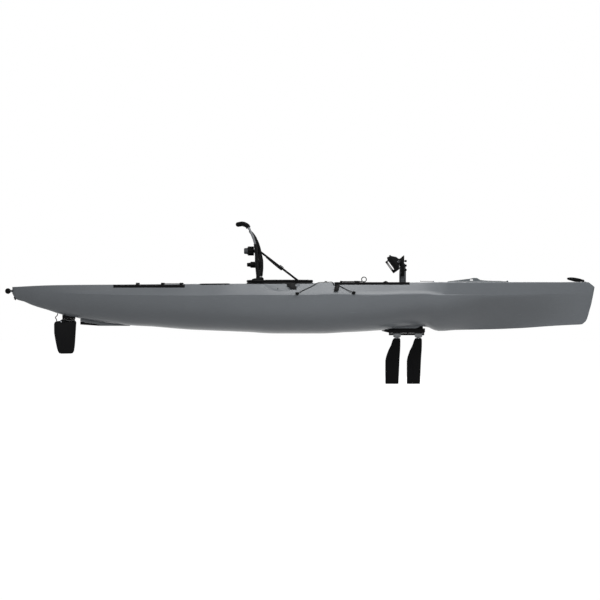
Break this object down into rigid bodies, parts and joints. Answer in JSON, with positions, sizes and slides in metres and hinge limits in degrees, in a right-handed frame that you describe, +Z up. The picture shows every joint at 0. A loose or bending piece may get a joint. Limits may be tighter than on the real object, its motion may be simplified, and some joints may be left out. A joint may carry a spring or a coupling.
{
  "type": "pedal kayak",
  "caption": "Sit-on pedal kayak: hollow moulded hull, folding framed seat, rocking pedal drive with swinging fins, and a kick-up rudder.",
  "frame": {"origin": "centre of the flat strip along the keel, about halfway along the hull", "axes": "+X to the bow, +Y to port, +Z up"},
  "size_m": [4.9293, 0.7356, 1.356],
  "materials": {
    "hull_plastic": "rotomoulded, soft sheen",
    "black_plastic": "fine grain",
    "black_rubber": "matte",
    "seat_fabric": "woven mesh",
    "cord": "braided",
    "steel": "brushed",
    "frame_aluminium": "satin anodised",
    "drive_casting": "satin paint"
  },
  "bodies": {
    "hull": {"hull_shell": "hull_plastic", "skeg_keel": "hull_plastic", "keel_wear_pad": "black_plastic", "bow_hatch_rim": "black_plastic", "bow_hatch_hinge_pin": "steel", "round_hatch_rim": "black_plastic", "bow_handle_base": "black_plastic", "cockpit_track_port": "black_plastic", "cockpit_track_starboard": "black_plastic", "stern_track_port": "black_plastic", "stern_track_starboard": "black_plastic", "cargo_bungee": "cord", "paddle_eye_aft": "black_plastic", "paddle_eye_fore": "black_plastic", "paddle_bungee": "cord", "paddle_hook": "black_plastic", "rudder_housing": "black_plastic", "lift_line_cleat": "black_plastic", "steering_base": "black_plastic", "steering_cable": "cord", "seat_base_frame": "black_plastic", "seat_cushion": "seat_fabric", "seat_mount_port": "black_plastic", "seat_mount_starboard": "black_plastic", "seat_hinge_rod": "steel", "back_strap_port": "seat_fabric", "back_strap_starboard": "seat_fabric", "drive_spine": "black_plastic", "crank_axle": "steel"},
    "plug": {"drain_plug": "black_plastic"},
    "hatch_lid": {"bow_hatch_lid": "hull_plastic"},
    "hatch_latch": {"bow_hatch_latch": "black_plastic"},
    "round_lid": {"round_hatch_lid": "black_plastic"},
    "bow_grip": {"bow_handle": "black_plastic"},
    "stern_grip": {"stern_handle": "black_plastic"},
    "seat_back": {"seat_back_frame": "frame_aluminium", "seat_back_pad": "seat_fabric", "seat_top_pad": "black_rubber"},
    "height_knob": {"back_height_knob": "black_plastic"},
    "low_knob": {"lumbar_knob": "black_plastic"},
    "port_crank": {"crank_port": "drive_casting"},
    "starboard_crank": {"crank_starboard": "drive_casting"},
    "port_post": {"pedal_post_port": "black_plastic"},
    "starboard_post": {"pedal_post_starboard": "black_plastic"},
    "port_pedal": {"pedal_port": "black_plastic", "pedal_strap_port": "black_rubber"},
    "starboard_pedal": {"pedal_starboard": "black_plastic", "pedal_strap_starboard": "black_rubber"},
    "fore_mast": {"front_mast": "drive_casting"},
    "aft_mast": {"rear_mast": "drive_casting"},
    "fore_fin": {"front_fin": "black_rubber"},
    "aft_fin": {"rear_fin": "black_rubber"},
    "rudder_stock": {"rudder_head": "black_plastic", "rudder_pivot_pin": "steel", "rudder_lift_line": "cord"},
    "blade": {"rudder_blade": "black_plastic"},
    "lift_handle": {"rudder_lift_handle": "cord"},
    "steering_lever": {"steering_handle": "black_plastic"},
    "port_latch": {"drive_latch_port": "black_plastic"},
    "starboard_latch": {"drive_latch_starboard": "black_plastic"}
  },
  "joints": [
    {"name": "rudder_steer", "type": "hinge", "parent": "hull", "child": "rudder_stock", "pos_m": [-1.931, 0, 0.15], "axis": [0, 0, 1], "range_deg": [-35, 35]},
    {"name": "rudder_kick_up", "type": "hinge", "parent": "rudder_stock", "child": "blade", "pos_m": [-1.995, 0, 0.1], "axis": [0, 1, 0], "range_deg": [0, 70], "deforming": ["rudder_lift_line"]},
    {"name": "lift_handle_pull", "type": "slide", "parent": "hull", "child": "lift_handle", "axis": [1, 0, 0], "range_m": [0, 0.12]},
    {"name": "steering_turn", "type": "hinge", "parent": "hull", "child": "steering_lever", "pos_m": [0.18, 0.2688, 0.4], "axis": [0, 0, 1], "range_deg": [-50, 50]},
    {"name": "drain_plug_turn", "type": "hinge", "parent": "hull", "child": "plug", "pos_m": [-2.378, 0, 0.294], "axis": [-0.829, 0, -0.5592], "continuous": true},
    {"name": "bow_hatch_open", "type": "hinge", "parent": "hull", "child": "hatch_lid", "pos_m": [1.7363, 0, 0.4363], "axis": [0, 1, 0], "range_deg": [0, 100]},
    {"name": "hatch_latch_lift", "type": "hinge", "parent": "hull", "child": "hatch_latch", "pos_m": [1.118, 0, 0.43498], "axis": [0, 1, 0], "range_deg": [0, 90]},
    {"name": "round_lid_turn", "type": "hinge", "parent": "hull", "child": "round_lid", "pos_m": [0.42, 0, 0.13], "axis": [0, 0, 1], "range_deg": [0, 90]},
    {"name": "bow_handle_lift", "type": "hinge", "parent": "hull", "child": "bow_grip", "pos_m": [2.372, 0, 0.442], "axis": [0, 1, 0], "range_deg": [0, 70]},
    {"name": "stern_handle_swing", "type": "hinge", "parent": "hull", "child": "stern_grip", "pos_m": [-2.4143, 0, 0.355], "axis": [0, 1, 0], "range_deg": [-45, 45]},
    {"name": "seat_back_fold", "type": "hinge", "parent": "hull", "child": "seat_back", "pos_m": [-0.315, 0, 0.458], "axis": [0, 1, 0], "range_deg": [0, 75], "deforming": ["back_strap_port", "back_strap_starboard"]},
    {"name": "height_knob_turn", "type": "hinge", "parent": "seat_back", "child": "height_knob", "pos_m": [-0.4, 0, 0.69], "axis": [1, 0, 0], "continuous": true},
    {"name": "low_knob_turn", "type": "hinge", "parent": "seat_back", "child": "low_knob", "pos_m": [-0.4, 0, 0.575], "axis": [1, 0, 0], "continuous": true},
    {"name": "port_crank_swing", "type": "hinge", "parent": "hull", "child": "port_crank", "pos_m": [0.88, 0.034, 0.23], "axis": [0, 1, 0], "range_deg": [-24, 24]},
    {"name": "starboard_crank_swing", "type": "hinge", "parent": "hull", "child": "starboard_crank", "pos_m": [0.88, -0.034, 0.23], "axis": [0, 1, 0], "range_deg": [-24, 24]},
    {"name": "port_post_slide", "type": "slide", "parent": "port_crank", "child": "port_post", "axis": [0, 0, 1], "range_m": [-0.08, 0]},
    {"name": "starboard_post_slide", "type": "slide", "parent": "starboard_crank", "child": "starboard_post", "axis": [0, 0, 1], "range_m": [-0.08, 0]},
    {"name": "port_pedal_tilt", "type": "hinge", "parent": "port_post", "child": "port_pedal", "pos_m": [0.822, 0.1, 0.6], "axis": [0, 1, 0], "range_deg": [-40, 40]},
    {"name": "starboard_pedal_tilt", "type": "hinge", "parent": "starboard_post", "child": "starboard_pedal", "pos_m": [0.822, -0.1, 0.6], "axis": [0, 1, 0], "range_deg": [-40, 40]},
    {"name": "fore_mast_swing", "type": "hinge", "parent": "hull", "child": "fore_mast", "pos_m": [0.993, 0, -0.006], "axis": [1, 0, 0], "range_deg": [-72, 72]},
    {"name": "aft_mast_swing", "type": "hinge", "parent": "hull", "child": "aft_mast", "pos_m": [0.813, 0, -0.006], "axis": [1, 0, 0], "range_deg": [-72, 72]},
    {"name": "fore_fin_twist", "type": "hinge", "parent": "fore_mast", "child": "fore_fin", "pos_m": [0.993, 0, -0.2], "axis": [0, 0, 1], "range_deg": [-40, 40]},
    {"name": "aft_fin_twist", "type": "hinge", "parent": "aft_mast", "child": "aft_fin", "pos_m": [0.813, 0, -0.2], "axis": [0, 0, 1], "range_deg": [-40, 40]},
    {"name": "port_latch_turn", "type": "hinge", "parent": "hull", "child": "port_latch", "pos_m": [0.79, 0.08, 0.13], "axis": [0, 0, 1], "range_deg": [0, 90]},
    {"name": "starboard_latch_turn", "type": "hinge", "parent": "hull", "child": "starboard_latch", "pos_m": [0.79, -0.08, 0.13], "axis": [0, 0, -1], "range_deg": [0, 90]}
  ],
  "couplings": [
    {"joint": "steering_turn", "follows": "rudder_steer", "ratio": 1.4},
    {"joint": "lift_handle_pull", "follows": "rudder_kick_up", "m_per_rad": 0.0982},
    {"joint": "starboard_crank_swing", "follows": "port_crank_swing", "ratio": -1},
    {"joint": "fore_mast_swing", "follows": "port_crank_swing", "ratio": 3},
    {"joint": "aft_mast_swing", "follows": "port_crank_swing", "ratio": -3}
  ]
}
